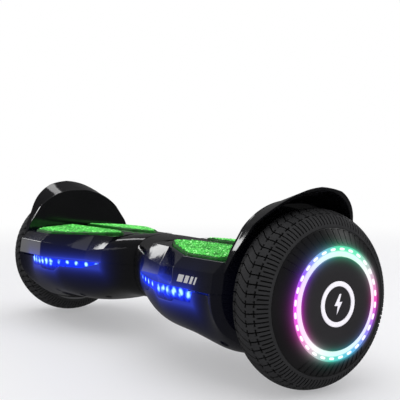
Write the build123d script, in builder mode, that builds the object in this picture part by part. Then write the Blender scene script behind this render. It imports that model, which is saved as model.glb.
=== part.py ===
from build123d import *
import os
from math import atan, cos, degrees, radians, sin

# Self balancing hoverboard, millimetres.
# X runs along the wheel axis, -Y is the front, +Z is up and the floor is Z = 0.
# Heights called "above the axle" are measured from the wheel axis.
# Each half is modelled at +X, and the left half is its mirror image.

# ---- driving dimensions --------------------------------------------------------------
tyre_radius = 84.0
tyre_half_width = 23.5
tyre_depth = 24.0            # tread crown down to the rim
body_half_length = 232.0     # board's middle to the end of the body
wheel_gap = 1.5              # end of the body to the tyre's side

seam_height = 8.0            # split line of the covers, above the axle
cover_wall = 3.0
neck_gap = 0.6               # each half stops this far from the board's middle
collar_length = 7.0          # bevelled end of the body beside the wheel
collar_bevel = 7.5

deck_crown = 40.5            # height of the deck's middle above the axle
deck_flat = 8.0              # half width of the level strip along the middle
deck_slope = 0.065
deck_wall = 6.0
pad_recess = 3.5
pad_proud = 2.0
pad_travel = 1.5
pad_side_gap = 0.7
pad_margin = 3.0             # pad recess to the edge of the deck

fender_wall = 3.0
fender_reach = 38.0          # how far the lip stands out over the tyre
fender_step = 16.0           # how far the lip stands out at the fender's corner

axle_diameter = 15.0
running_gap = 0.05           # radial clearance of shafts in bores
bearing_diameter = 35.0
bearing_width = 9.0
air_gap = 0.8                # magnets to stator
rim_wall = 8.0
magnet_depth = 2.5
stator_width = 18.0
stator_teeth = 18

pivot_tube_diameter = 30.0
pivot_tube_wall = 4.0
pivot_half_length = 62.0
bush_wall = 3.0
pivot_swing = 12.0           # degrees each way
stop_pin_diameter = 5.0

plate_thickness = 4.0
plate_top = -8.0             # top of the frame's floor plate, above the axle
cable_diameter = 7.0
cell_diameter = 18.4
cell_length = 65.0
board_thickness = 1.6
screw_diameter = 4.0
screw_head_diameter = 7.6
charge_bore_diameter = 11.0
charge_bore_depth = 9.0
button_diameter = 14.0
button_travel = 1.5

# Places along the body, from the board's middle.
bumper_x = 47.0              # bumper facets start
nose_x = 87.0                # first upright corner of the bumper
ridge_x = 159.0              # second upright corner of the bumper
charge_x = 100.0
button_x = 66.0

# ---- worked out from the above -------------------------------------------------------
axle_height = tyre_radius
collar_x = body_half_length - collar_length
wheel_x = body_half_length + wheel_gap + tyre_half_width
tyre_inner_x = wheel_x - tyre_half_width
tyre_outer_x = wheel_x + tyre_half_width
rim_radius = tyre_radius - tyre_depth
axle_radius = axle_diameter / 2
bearing_radius = bearing_diameter / 2
deck_tilt = atan(deck_slope)
plate_bottom = plate_top - plate_thickness

axle_axis = Axis((0, 0, axle_height), (1, 0, 0))

# Bumper sections: place along X, half width at the seam, half width and height of the
# nose edge, half width of the deck.
bumper_sections = (
    (bumper_x, 59.5, 55.5, 24.0, 42.0),
    (nose_x, 62.0, 59.5, 18.5, 47.0),
    (ridge_x, 90.5, 89.0, 26.0, 77.4),
    (collar_x, 91.5, 88.7, 26.4, 77.0),
)

# Barrel sections: place along X, half width at the seam, height over the seam,
# depth under the seam.
barrel_sections = (
    (neck_gap, 41.0, 35.0, 41.0),
    (20.0, 48.0, 34.5, 42.0),
    (bumper_x, 60.0, 32.5, 45.0),
    (80.0, 73.5, 32.5, 53.0),
    (114.0, 84.4, 32.5, 57.5),
    (ridge_x, 90.0, 32.5, 59.5),
    (collar_x, 92.0, 32.5, 55.5),
)
barrel_fullness = 0.70       # handle length of a quarter, 0.55 would be an ellipse

# Screws that hold the covers to the frame: place along X, across, height of the head.
cover_screw_places = (
    (72.0, 36.0, -32.0),
    (104.0, 56.0, -33.0),
    (ridge_x - 4, 66.0, -33.0),
    (collar_x - 13, 66.0, -32.0),
)


# ---- helpers -------------------------------------------------------------------------
def across(x):
    """Plane facing +X at x, with Y and the height above the axle as its directions."""
    return Plane(origin=(x, 0, axle_height), x_dir=(0, 1, 0), z_dir=(1, 0, 0))


def level(height):
    """Level plane at a height above the axle."""
    return Plane.XY.offset(axle_height + height)


def upright(y):
    """Plane facing the front (-Y) at y, with X and the height above the axle."""
    return Plane(origin=(0, y, axle_height), x_dir=(1, 0, 0), z_dir=(0, -1, 0))


def deck_plane(side):
    """The sloping deck surface: side is -1 for the front and 1 for the rear."""
    return Plane(
        origin=(0, side * deck_flat, axle_height + deck_crown),
        x_dir=(1, 0, 0),
        z_dir=(0, side * sin(deck_tilt), cos(deck_tilt)),
    )


def deck_height(y):
    return deck_crown - max(0.0, abs(y) - deck_flat) * deck_slope


def bumper_outline(section, inset, top_inset):
    """Half of a bumper section as (across, height) points, from the seam to the crown."""
    _, seam, nose, nose_height, deck = section
    return [
        (seam - inset, seam_height),
        (nose - inset, nose_height - inset / 2),
        (deck - inset, deck_height(deck) - top_inset),
        (deck_flat, deck_crown - top_inset),
    ]


def bumper_face(section, x, inset, top_inset):
    """Sketch of a whole bumper section at x."""
    half = bumper_outline(section, inset, top_inset)
    points = [(-y, z) for y, z in half] + [(y, z) for y, z in reversed(half)]
    with BuildSketch(across(x)) as sketch:
        with BuildLine():
            Polyline(*points, close=True)
        make_face()
    return sketch.sketch


def barrel_face(section, x, inset, upper):
    """Sketch of half a barrel section at x, above or below the seam."""
    _, half_width, rise, depth = section
    half_width -= inset
    reach = (rise - inset) if upper else -(depth - inset)
    handle = barrel_fullness
    with BuildSketch(across(x)) as sketch:
        with BuildLine():
            for side in (-1, 1):
                Bezier(
                    (side * half_width, seam_height),
                    (side * half_width, seam_height + handle * reach),
                    (side * handle * half_width, seam_height + reach),
                    (0, seam_height + reach),
                )
            Line((-half_width, seam_height), (half_width, seam_height))
        make_face()
    return sketch.sketch


def between(first, second, x):
    """Values of a section at x, in proportion between two sections."""
    share = (x - first[0]) / (second[0] - first[0])
    return tuple(a + (b - a) * share for a, b in zip(first, second))


def at(section, x):
    """The same section moved to x."""
    return (x, *section[1:])


end_wall_x = body_half_length - cover_wall
bumper_end = (body_half_length, 84.0, 81.5, bumper_sections[-1][3], 74.5)
barrel_end = (body_half_length, *[size - collar_bevel for size in barrel_sections[-1][1:]])


def bumper_solid(inset=0.0, top_inset=0.0):
    """The faceted part of the upper cover, or its hollow when inset."""
    start_x = bumper_x + (1.0 if inset else 0.0)
    end_x = end_wall_x if inset else body_half_length
    stations = [between(bumper_sections[0], bumper_sections[1], start_x), *bumper_sections[1:]]
    stations.append(between(bumper_sections[-1], bumper_end, end_x))
    faces = [bumper_face(station, station[0], inset, top_inset) for station in stations]
    with BuildPart() as solid:
        for near, far in zip(faces, faces[1:]):
            loft([near, far], ruled=True)
    return solid.part


def neck_solid(inset=0.0):
    """The smooth neck above the seam, or its hollow when inset."""
    start_x = neck_gap + (cover_wall if inset else 0.0)
    end_x = bumper_x + (2.0 if inset else 0.5)
    stations = [at(barrel_sections[0], start_x), barrel_sections[1]]
    stations.append(between(barrel_sections[2], barrel_sections[3], end_x))
    with BuildPart() as solid:
        loft([barrel_face(station, station[0], inset, True) for station in stations])
    return solid.part


def belly_solid(inset=0.0):
    """The smooth barrel below the seam, or its hollow when inset."""
    start_x = neck_gap + (cover_wall if inset else 0.0)
    end_x = end_wall_x if inset else body_half_length
    stations = [at(barrel_sections[0], start_x), *barrel_sections[1:]]
    last = between(barrel_sections[-1], barrel_end, end_x)
    collar = [barrel_face(barrel_sections[-1], collar_x, inset, False)]
    collar.append(barrel_face(last, end_x, inset, False))
    with BuildPart() as solid:
        loft([barrel_face(station, station[0], inset, False) for station in stations])
        loft(collar, ruled=True)
    return solid.part


def save(part, name):
    part.label = name
    export_step(part, f"parts/{name}.step")


def save_pair(part, name):
    """Write a sub-part for the right half and its mirror image for the left half."""
    save(mirror(part, about=Plane.YZ), f"left_{name}")
    save(part, f"right_{name}")


def turned(points):
    """Solid turned about the wheel axis from (x, radius) points."""
    with BuildPart() as solid:
        with BuildSketch(upright(0)):
            with BuildLine():
                Polyline(*points, close=True)
            make_face()
        revolve(axis=axle_axis)
    return solid.part


def ring(x0, x1, inner, outer):
    """Plain ring about the wheel axis."""
    return turned([(x0, inner), (x1, inner), (x1, outer), (x0, outer)])


os.makedirs("parts", exist_ok=True)

# ---- foot pads -----------------------------------------------------------------------
pad_end_x = body_half_length - fender_wall - pad_margin
pad_bottom = pad_travel + 0.3 - pad_recess
plunger_places = (nose_x + 30, collar_x - 30)
plunger_radius = 4.0
plunger_reach = deck_wall + 7.0


def pad_face(side, depth, inset=0.0):
    """Leaf shaped outline of a foot pad at a depth under the deck, pulled in by inset."""
    outer = [section[4] - deck_flat - pad_margin for section in bumper_sections]
    points = [
        (bumper_x + 6, 0.42 * outer[0]),
        (nose_x + 8, 1),
        (pad_end_x, 1),
        (pad_end_x, outer[3] - 14),
        (pad_end_x - 16, outer[3]),
        (ridge_x, outer[2]),
        (nose_x, outer[1]),
    ]
    with BuildSketch(deck_plane(side).offset(-depth)) as sketch:
        with BuildLine():
            Polyline(*[(x, side * v) for x, v in points], close=True)
        make_face()
        tip = sketch.vertices().sort_by(Axis.X)[0]
        fillet(tip, 5)
        middle = [v for v in sketch.vertices() if nose_x - 1 < v.X < ridge_x + 1]
        fillet(middle, 20)
        ends = [v for v in sketch.vertices() if v.X > pad_end_x - 17]
        fillet(ends, 5)
        if inset:
            offset(amount=-inset, mode=Mode.REPLACE)
    return sketch.sketch


def plunger_spots(side):
    return [(x, side * 0.5 * (bumper_sections[2][4] - deck_flat)) for x in plunger_places]


def foot_pad(side):
    """Rubber topped pad that sinks into the deck and pushes two plungers."""
    with BuildPart() as pad:
        extrude(pad_face(side, -pad_bottom, pad_side_gap), amount=pad_proud - pad_bottom)
        with BuildSketch(deck_plane(side).offset(pad_bottom)):
            with Locations(*plunger_spots(side)):
                Circle(plunger_radius)
        extrude(amount=-(plunger_reach + pad_bottom))
        top = pad.faces().filter_by(Axis(deck_plane(side).origin, deck_plane(side).z_dir))
        chamfer(top.sort_by(Axis.Z)[-1].edges(), 0.8)
    return pad.part


save_pair(foot_pad(-1), "front_pad")
save_pair(foot_pad(1), "rear_pad")


# ---- covers --------------------------------------------------------------------------
neck_opening = 27.0
collar_opening = 14.0
boss_radius = 4.6
shelf_thickness = 3.0
window_gap = 0.15
window_top = seam_height - 0.1
charge_height = -9.0
charge_seat_y = 79.0
charge_seat_radius = 12.5
button_seat_y = 67.0
button_seat_radius = 10.0
seat_depth = 13.0

# Light window in the front of the lower cover: (x, height above the axle).
window_outline = (
    (ridge_x + 31, window_top),
    (ridge_x + 26, -5.3),
    (ridge_x + 1, -5.0),
    (ridge_x - 4, -8.2),
    (ridge_x - 31, -8.4),
    (ridge_x - 45, -1.4),
    (nose_x - 9, -0.8),
    (bumper_x + 3, window_top - 1.5),
    (bumper_x + 3, window_top),
)


def cover_bores(low, high, radius):
    """Upright cylinders at the cover screws, between two heights above the axle."""
    with BuildPart() as bores:
        with BuildSketch(level(low)):
            for x, y, _ in cover_screw_places:
                with Locations((x, y), (x, -y)):
                    Circle(radius)
        extrude(amount=high - low)
    return bores.part


def window_solid(gap=0.0):
    """Straight bar with the light window's outline, through the front wall."""
    with BuildPart() as bar:
        with BuildSketch(upright(-bumper_sections[0][2] + 10)):
            with BuildLine():
                Polyline(*window_outline, close=True)
            make_face()
            if gap:
                offset(amount=-gap, mode=Mode.REPLACE)
        extrude(amount=60)
    return bar.part


with BuildPart() as upper_hull:
    add(neck_solid())
    add(bumper_solid())

with BuildPart() as upper_boss_tops:
    add(cover_bores(seam_height, deck_crown, boss_radius))
    add(upper_hull.part, mode=Mode.INTERSECT)

with BuildPart() as upper_bosses:
    add(cover_bores(plate_top + 0.2, seam_height, boss_radius))
    add(upper_boss_tops.part)

with BuildPart() as upper_cover:
    add(upper_hull.part)
    add(neck_solid(cover_wall), mode=Mode.SUBTRACT)
    add(bumper_solid(cover_wall, deck_wall), mode=Mode.SUBTRACT)
    add(upper_bosses.part)
    for side in (-1, 1):
        extrude(pad_face(side, pad_recess), amount=pad_recess + 5, mode=Mode.SUBTRACT)
        with BuildSketch(deck_plane(side)):
            with Locations(*plunger_spots(side)):
                Circle(plunger_radius + pad_side_gap)
        extrude(amount=-deck_wall - 4, mode=Mode.SUBTRACT)
    with BuildSketch(across(0)):
        Circle(neck_opening)
    extrude(amount=10, mode=Mode.SUBTRACT)
    with BuildSketch(across(end_wall_x - 1)):
        Circle(collar_opening)
    extrude(amount=10, mode=Mode.SUBTRACT)
    add(cover_bores(plate_top, plate_top + 17, screw_diameter / 2), mode=Mode.SUBTRACT)

save_pair(upper_cover.part, "upper_cover")

with BuildPart() as belly_hollow:
    add(belly_solid(cover_wall))
    with BuildSketch(level(seam_height - shelf_thickness)):
        Rectangle(4 * body_half_length, 4 * body_half_length)
    extrude(amount=4 * shelf_thickness, mode=Mode.SUBTRACT)
    with BuildSketch(level(seam_height - shelf_thickness)):
        with BuildLine():
            rim = [(neck_gap + cover_wall, barrel_sections[0][1] - cover_wall)]
            rim += [(section[0], section[1] - cover_wall) for section in bumper_sections]
            rim.append((end_wall_x, bumper_end[1] - cover_wall))
            Polyline(*rim, *[(x, -y) for x, y in reversed(rim)], close=True)
        make_face()
    extrude(amount=shelf_thickness)

with BuildPart() as belly_shell:
    add(belly_solid())
    add(belly_hollow.part, mode=Mode.SUBTRACT)
    with BuildSketch(across(0)):
        Circle(neck_opening)
    extrude(amount=10, mode=Mode.SUBTRACT)
    with BuildSketch(across(end_wall_x - 1)):
        Circle(collar_opening)
    extrude(amount=10, mode=Mode.SUBTRACT)

with BuildPart() as lower_bosses:
    add(cover_bores(-70, plate_bottom, boss_radius + 1))
    add(belly_solid(), mode=Mode.INTERSECT)

with BuildPart() as plain_lower_cover:
    add(belly_shell.part)
    add(lower_bosses.part)
    add(window_solid(), mode=Mode.SUBTRACT)
    add(cover_bores(-70, seam_height, screw_diameter / 2 + 0.3), mode=Mode.SUBTRACT)
    for x, y, head in cover_screw_places:
        with BuildSketch(level(head)):
            with Locations((x, y), (x, -y)):
                Circle(screw_head_diameter / 2 + 0.3)
        extrude(amount=-40, mode=Mode.SUBTRACT)

save(mirror(plain_lower_cover.part, about=Plane.YZ), "left_lower_cover")

ear_height = seam_height - 3.6
ear_reach = 7.8
ear_y = charge_seat_y + 2.2

with BuildPart() as right_lower_cover:
    add(plain_lower_cover.part)
    for x, seat_y, radius in (
        (charge_x, charge_seat_y, charge_seat_radius),
        (button_x, button_seat_y, button_seat_radius),
    ):
        with BuildSketch(upright(seat_y)):
            with Locations((x, charge_height)):
                Circle(radius)
        extrude(amount=-40, mode=Mode.SUBTRACT)
        with BuildSketch(upright(seat_y)):
            with Locations((x, charge_height)):
                Circle(radius)
        extrude(amount=seat_depth)
    with BuildSketch(upright(ear_y + 1.8)):
        with Locations((charge_x, ear_height)):
            Rectangle(2 * ear_reach, 4)
    extrude(amount=8)
    with BuildSketch(upright(charge_seat_y)):
        with Locations((charge_x, ear_height - 6)):
            Rectangle(10, 18)
    extrude(amount=-10, mode=Mode.SUBTRACT)
    with BuildSketch(upright(charge_seat_y + 1)):
        with Locations((charge_x, charge_height)):
            Circle(8.2)
    extrude(amount=20, mode=Mode.SUBTRACT)
    with BuildSketch(upright(button_seat_y + 1)):
        with Locations((button_x, charge_height)):
            Circle(button_diameter / 2 + 0.3)
    extrude(amount=20, mode=Mode.SUBTRACT)
    with BuildSketch(upright(button_seat_y - 5.7)):
        with Locations((button_x, charge_height)):
            Circle(button_diameter / 2 + 1.8)
    extrude(amount=20, mode=Mode.SUBTRACT)
    with BuildSketch(across(charge_x - ear_reach - 1)):
        with Locations((ear_y, ear_height)):
            Circle(1.05)
    extrude(amount=2 * ear_reach + 2, mode=Mode.SUBTRACT)

save(right_lower_cover.part, "right_lower_cover")

with BuildPart() as window_lens:
    add(belly_shell.part)
    add(window_solid(window_gap), mode=Mode.INTERSECT)
save_pair(window_lens.part, "window_lens")


# ---- fender --------------------------------------------------------------------------
# Points of the arch as (degrees up from level, radius beyond the tyre's): its two
# corners, a point on the round stretch above them, and the crown.
fender_foot_points = ((32.0, 3.0), (48.0, 5.5), (68.0, 7.3), (90.0, 6.5))
fender_lip_points = ((33.0, 8.0), (48.5, 14.8), (69.0, 17.2), (90.0, 19.5))
fender_base = 26.5           # lowest edge, above the axle
fender_corner = 70.0         # height of the lip at the fender's corner
fender_top = 99.0            # height from which the lip has its full reach
fender_foot_width = tyre_radius - 2
fender_lip_width = tyre_radius + 6
lip_x = body_half_length + fender_reach


def fender_face(x, arch, base_width, inset=0.0):
    """Arch outline at x: straight to the upper corner, then round to the crown."""
    half = [(base_width - inset, fender_base - inset)]
    for angle, beyond in arch:
        radius = tyre_radius + beyond - inset
        half.append((radius * cos(radians(angle)), radius * sin(radians(angle))))
    base, lower_corner, upper_corner, round_middle, crown = half
    with BuildSketch(across(x)) as sketch:
        with BuildLine():
            Polyline(base, lower_corner, upper_corner)
            ThreePointArc(upper_corner, round_middle, crown)
            ThreePointArc(crown, (-round_middle[0], round_middle[1]), (-upper_corner[0], upper_corner[1]))
            far = [(-y, z) for y, z in (upper_corner, lower_corner, base)]
            Polyline(*far, base)
        make_face()
    return sketch.sketch


def fender_shape(inset=0.0):
    """The whole flared arch, or its hollow when inset."""
    foot = fender_face(body_half_length, fender_foot_points, fender_foot_width, inset)
    lip = fender_face(lip_x, fender_lip_points, fender_lip_width, inset)
    with BuildPart() as shape:
        loft([foot, lip], ruled=True)
    return shape.part


with BuildPart() as fender:
    add(fender_shape())
    add(fender_shape(fender_wall), mode=Mode.SUBTRACT)
    with BuildSketch(upright(-2 * tyre_radius)):
        with BuildLine():
            Polyline(
                (body_half_length, 0),
                (body_half_length, fender_base),
                (body_half_length + fender_step, fender_corner),
                (lip_x, fender_top),
                (2 * lip_x, fender_top),
                (2 * lip_x, 0),
                close=True,
            )
        make_face()
    extrude(amount=-4 * tyre_radius, mode=Mode.SUBTRACT)
    extrude(
        fender_face(end_wall_x, fender_foot_points, fender_foot_width),
        amount=fender_wall,
    )
    add(upper_hull.part, mode=Mode.SUBTRACT)
save_pair(fender.part, "fender")


# ---- wheel ---------------------------------------------------------------------------
rim_inner = rim_radius - rim_wall
outer_disc_x = tyre_outer_x - 5.5
outer_disc = 4.0
cover_plate = 3.5
inner_bearing_x = tyre_inner_x + 1 + cover_plate
outer_bearing_x = outer_disc_x - bearing_width
stator_x = (inner_bearing_x + outer_bearing_x + bearing_width - stator_width) / 2
magnet_inner = rim_inner - magnet_depth
stator_radius = magnet_inner - air_gap
ring_inner = 42.4
ring_outer = 51.7
badge_inner = 16.0
badge_outer = 20.6
cover_face_x = tyre_outer_x + 10.2
bead_radius = rim_radius + 7.5

tyre = turned(
    [
        (wheel_x - 20.5, rim_radius),
        (wheel_x + 20.5, rim_radius),
        (wheel_x + 21.0, bead_radius),
        (wheel_x + 23.5, bead_radius),
        (wheel_x + 22.0, tyre_radius - 10.3),
        (wheel_x + 19.7, tyre_radius - 7.7),
        (wheel_x + 17.5, tyre_radius - 5.9),
        (wheel_x + 13.0, tyre_radius - 3.5),
        (wheel_x + 8.5, tyre_radius - 1.6),
        (wheel_x + 4.0, tyre_radius - 0.4),
        (wheel_x, tyre_radius),
        (wheel_x - 4.0, tyre_radius - 0.4),
        (wheel_x - 9.0, tyre_radius - 1.6),
        (wheel_x - 14.5, tyre_radius - 3.9),
        (wheel_x - 19.5, tyre_radius - 6.6),
        (wheel_x - 22.0, tyre_radius - 9.5),
        (wheel_x - 23.5, bead_radius),
        (wheel_x - 21.0, bead_radius),
    ]
)
save_pair(tyre, "tyre")

with BuildPart() as rotor_rim:
    add(ring(tyre_inner_x + cover_plate + 1, outer_disc_x + outer_disc, rim_inner, rim_radius))
    add(
        turned(
            [
                (outer_disc_x, 0),
                (outer_disc_x + outer_disc, 0),
                (outer_disc_x + outer_disc, rim_inner + 1),
                (outer_disc_x, rim_inner + 1),
            ]
        )
    )
    add(ring(outer_bearing_x, outer_disc_x, bearing_radius, bearing_radius + 4))
save_pair(rotor_rim.part, "rotor_rim")

motor_cover = turned(
    [
        (tyre_inner_x + 1, axle_radius + 3),
        (tyre_inner_x + 1 + cover_plate, axle_radius + 3),
        (tyre_inner_x + 1 + cover_plate, bearing_radius),
        (inner_bearing_x + bearing_width, bearing_radius),
        (inner_bearing_x + bearing_width, bearing_radius + 4),
        (tyre_inner_x + 1 + cover_plate, bearing_radius + 8),
        (tyre_inner_x + 1 + cover_plate, rim_radius),
        (tyre_inner_x + 2.5, rim_radius),
        (tyre_inner_x + 2.5, bead_radius - 0.2),
        (tyre_inner_x + 0.5, bead_radius - 0.2),
        (tyre_inner_x + 1, rim_inner),
    ]
)
with BuildPart() as drilled_motor_cover:
    add(motor_cover)
    with BuildSketch(across(tyre_inner_x - 1)):
        with PolarLocations(rim_radius - rim_wall / 2, 9):
            Circle(2.2)
    extrude(amount=8, mode=Mode.SUBTRACT)
save_pair(drilled_motor_cover.part, "motor_cover")

with BuildPart() as bearings:
    for x in (inner_bearing_x, outer_bearing_x):
        add(ring(x, x + bearing_width, axle_radius + running_gap, bearing_radius))
save_pair(bearings.part, "bearings")

magnet_count = 20
with BuildPart() as magnets:
    add(ring(stator_x, stator_x + stator_width, magnet_inner, rim_inner))
    with BuildSketch(across(stator_x)):
        with PolarLocations(rim_inner - magnet_depth / 2, magnet_count):
            Rectangle(2 * magnet_depth, 0.8)
    extrude(amount=stator_width, mode=Mode.SUBTRACT)
save_pair(magnets.part, "magnets")

tooth_width = 4.2
coil_width = 8.6
coil_inner = 31.0
coil_outer = stator_radius - 3.2
coil_overhang = 2.5
coil_taper = 3.08            # how much narrower each side of a coil is at its inner end
with BuildPart() as stator:
    add(ring(stator_x, stator_x + stator_width, coil_inner - 8, coil_inner - 1))
    add(ring(stator_x + 3, stator_x + stator_width - 3, axle_radius + running_gap, 12))
    with BuildSketch(across(stator_x)):
        with PolarLocations((coil_inner + stator_radius) / 2 - 1, stator_teeth):
            Rectangle(stator_radius - coil_inner + 2, tooth_width)
        with PolarLocations(stator_radius - 1.5, stator_teeth):
            Rectangle(2.4, 0.7 * 2 * 3.1416 * stator_radius / stator_teeth)
    extrude(amount=stator_width)
    with BuildSketch(across(stator_x + 3)):
        with PolarLocations(coil_inner / 2 + 3, 6):
            Rectangle(coil_inner - 14, 7)
    extrude(amount=stator_width - 6)
save_pair(stator.part, "stator")

with BuildPart() as windings:
    coil_length = coil_outer - coil_inner
    coil_angle = degrees(atan(coil_length / coil_taper))
    with BuildSketch(across(stator_x - coil_overhang)):
        with PolarLocations((coil_inner + coil_outer) / 2, stator_teeth):
            Trapezoid(coil_width, coil_length, coil_angle, rotation=90)
    extrude(amount=stator_width + 2 * coil_overhang)
    with BuildSketch(across(stator_x - 0.1)):
        with PolarLocations((coil_inner + coil_outer) / 2, stator_teeth):
            Rectangle(coil_length + 4, tooth_width + 0.2)
    extrude(amount=stator_width + 0.2, mode=Mode.SUBTRACT)
save_pair(windings.part, "windings")

axle_inner_x = body_half_length - 46
with BuildPart() as axle:
    add(ring(axle_inner_x, outer_bearing_x + bearing_width, 3.9, axle_radius))
save_pair(axle.part, "axle")

hub_cover = turned(
    [
        (outer_disc_x + outer_disc + 0.3, 0),
        (outer_disc_x + outer_disc + 0.3, bead_radius - 2.4),
        (tyre_outer_x, bead_radius - 0.3),
        (cover_face_x, ring_outer + 0.5),
        (cover_face_x, ring_outer + 0.2),
        (cover_face_x - 4, ring_outer + 0.2),
        (cover_face_x - 4, ring_inner - 0.2),
        (cover_face_x + 0.2, ring_inner - 0.2),
        (cover_face_x + 1.0, ring_inner - 1.4),
        (cover_face_x + 1.0, badge_outer + 0.1),
        (cover_face_x, badge_outer + 0.1),
        (cover_face_x, badge_inner - 0.1),
        (cover_face_x + 1.0, badge_inner - 0.1),
        (cover_face_x + 1.0, 0),
    ]
)
save_pair(hub_cover, "hub_cover")
save_pair(ring(cover_face_x - 3.8, cover_face_x, ring_inner, ring_outer), "light_ring")
save_pair(ring(cover_face_x + 0.1, cover_face_x + 1.3, badge_inner, badge_outer), "badge_ring")


# ---- frame ---------------------------------------------------------------------------
tube_radius = pivot_tube_diameter / 2
seat_start = 8.0
stop_radius = tube_radius + bush_wall + 4.0
seat_radius = stop_radius + stop_pin_diameter / 2 + 3.0
seat_end = pivot_half_length - 3.0
bush_length = 14.0
clamp_length = 32.0
clamp_half = 22.0
clamp_x = body_half_length - cover_wall - 9 - clamp_length / 2
post_top = 18.0
post_places = ((nose_x + 31, 22.0), (collar_x - 40, 22.0))
rib_y = 52.0
rib_height = deck_height(rib_y + 4) - deck_wall - 0.3


def frame_solid(bore_radius):
    """Cast frame of one half: floor plate, tube seat, axle seat, ribs and posts."""
    with BuildPart() as frame:
        with BuildSketch(level(plate_bottom)):
            with BuildLine():
                half = [
                    (seat_start, 24.0),
                    (pivot_half_length, 30.0),
                    (cover_screw_places[0][0], cover_screw_places[0][1] + 7),
                    (cover_screw_places[1][0], cover_screw_places[1][1] + 7),
                    (cover_screw_places[2][0], cover_screw_places[2][1] + 7),
                    (end_wall_x - 1, cover_screw_places[3][1] + 7),
                ]
                Polyline(*half, *[(x, -y) for x, y in reversed(half)], close=True)
            make_face()
            with Locations((ridge_x - 15, 0)):
                SlotOverall(30, 14, mode=Mode.SUBTRACT)
        extrude(amount=plate_thickness)
        with BuildSketch(across(seat_start)):
            Circle(seat_radius)
        extrude(amount=seat_end - seat_start)
        with BuildSketch(level(plate_bottom)):
            with Locations(*post_places, *[(x, -y) for x, y in post_places]):
                Circle(4)
        extrude(amount=post_top - plate_bottom)
        with BuildSketch(level(plate_bottom)):
            with Locations((clamp_x, 0)):
                Rectangle(clamp_length, 2 * clamp_half)
        extrude(amount=-plate_bottom - 0.2)
        for side in (-1, 1):
            with BuildSketch(level(plate_bottom)):
                with Locations(((nose_x + end_wall_x) / 2 + 14, side * rib_y)):
                    Rectangle(end_wall_x - nose_x - 34, 4)
            extrude(amount=rib_height - plate_bottom)
        with BuildSketch(across(0)):
            Circle(bore_radius)
        extrude(amount=body_half_length / 2, mode=Mode.SUBTRACT)
        with BuildSketch(across(clamp_x - clamp_length)):
            Circle(axle_radius + running_gap)
        extrude(amount=2 * clamp_length, mode=Mode.SUBTRACT)
        add(
            cover_bores(plate_bottom - 1, plate_top + 1, screw_diameter / 2 + 0.3),
            mode=Mode.SUBTRACT,
        )
        with BuildSketch(level(0)):
            with Locations((clamp_x, 0)):
                with GridLocations(clamp_length - 10, 2 * clamp_half - 12, 2, 2):
                    Circle(screw_diameter / 2 + 0.1)
        extrude(amount=-10, mode=Mode.SUBTRACT)
        with BuildSketch(across(seat_end)):
            Circle(tube_radius + 5)
        extrude(amount=8, mode=Mode.SUBTRACT)
    return frame.part


left_frame = frame_solid(tube_radius + running_gap)
with BuildPart() as left_frame_with_pin_bore:
    add(left_frame)
    with BuildSketch(across(seat_start - 1)):
        with Locations((0, stop_radius)):
            Circle(stop_pin_diameter / 2 + 0.02)
    extrude(amount=17, mode=Mode.SUBTRACT)
save(mirror(left_frame_with_pin_bore.part, about=Plane.YZ), "left_frame")

slot_depth = 7.0
with BuildPart() as right_frame:
    add(frame_solid(tube_radius + bush_wall))
    with BuildSketch(across(seat_start)):
        Circle(stop_radius + stop_pin_diameter / 2 + 0.6)
        Circle(stop_radius - stop_pin_diameter / 2 - 0.6, mode=Mode.SUBTRACT)
        reach = degrees((stop_pin_diameter / 2 + 0.4) / stop_radius) + pivot_swing
        with BuildLine():
            left_end = (-60 * sin(radians(reach)), 60 * cos(radians(reach)))
            right_end = (60 * sin(radians(reach)), 60 * cos(radians(reach)))
            Polyline((0, 0), right_end, left_end, close=True)
        make_face(mode=Mode.INTERSECT)
    extrude(amount=slot_depth, mode=Mode.SUBTRACT)
save(right_frame.part, "right_frame")

with BuildPart() as axle_clamp:
    with BuildSketch(level(0.3)):
        with Locations((clamp_x, 0)):
            Rectangle(clamp_length - 2, 2 * clamp_half - 1)
    extrude(amount=12)
    with BuildSketch(across(clamp_x - clamp_length)):
        Circle(axle_radius + running_gap)
    extrude(amount=2 * clamp_length, mode=Mode.SUBTRACT)
    with BuildSketch(level(0)):
        with Locations((clamp_x, 0)):
            with GridLocations(clamp_length - 10, 2 * clamp_half - 12, 2, 2):
                Circle(screw_diameter / 2 + 0.1)
    extrude(amount=20, mode=Mode.SUBTRACT)
save_pair(axle_clamp.part, "axle_clamp")

with BuildPart() as clamp_screws:
    for low, high, radius in (
        (-9.5, 12.3, screw_diameter / 2),
        (12.3, 16.3, screw_head_diameter / 2),
    ):
        with BuildSketch(level(low)):
            with Locations((clamp_x, 0)):
                with GridLocations(clamp_length - 10, 2 * clamp_half - 12, 2, 2):
                    Circle(radius)
        extrude(amount=high - low)
save_pair(clamp_screws.part, "clamp_screws")

with BuildPart() as cover_screws:
    for x, y, head in cover_screw_places:
        for place in ((x, y), (x, -y)):
            with BuildSketch(level(head)):
                with Locations(place):
                    Circle(screw_head_diameter / 2)
            extrude(amount=-3)
            with BuildSketch(level(head)):
                with Locations(place):
                    Circle(screw_diameter / 2 - 0.02)
            extrude(amount=plate_top + 14 - head)
save_pair(cover_screws.part, "cover_screws")

with BuildPart() as sensor_board:
    with BuildSketch(level(post_top)):
        with Locations(((post_places[0][0] + post_places[1][0]) / 2, 0)):
            RectangleRounded(post_places[1][0] - post_places[0][0] + 14, 2 * rib_y - 8, 3)
    extrude(amount=board_thickness)
    with BuildSketch(level(post_top + board_thickness)):
        for side in (-1, 1):
            with Locations(*[(x, y + side * deck_flat) for x, y in plunger_spots(side)]):
                Rectangle(7, 7)
    extrude(amount=3.2)
    with BuildSketch(level(post_top + board_thickness)):
        with Locations((ridge_x - 12, 0)):
            Rectangle(14, 14)
        with Locations((ridge_x + 14, 12)):
            Rectangle(10, 5)
    extrude(amount=2.2)
save_pair(sensor_board.part, "sensor_board")

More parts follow.
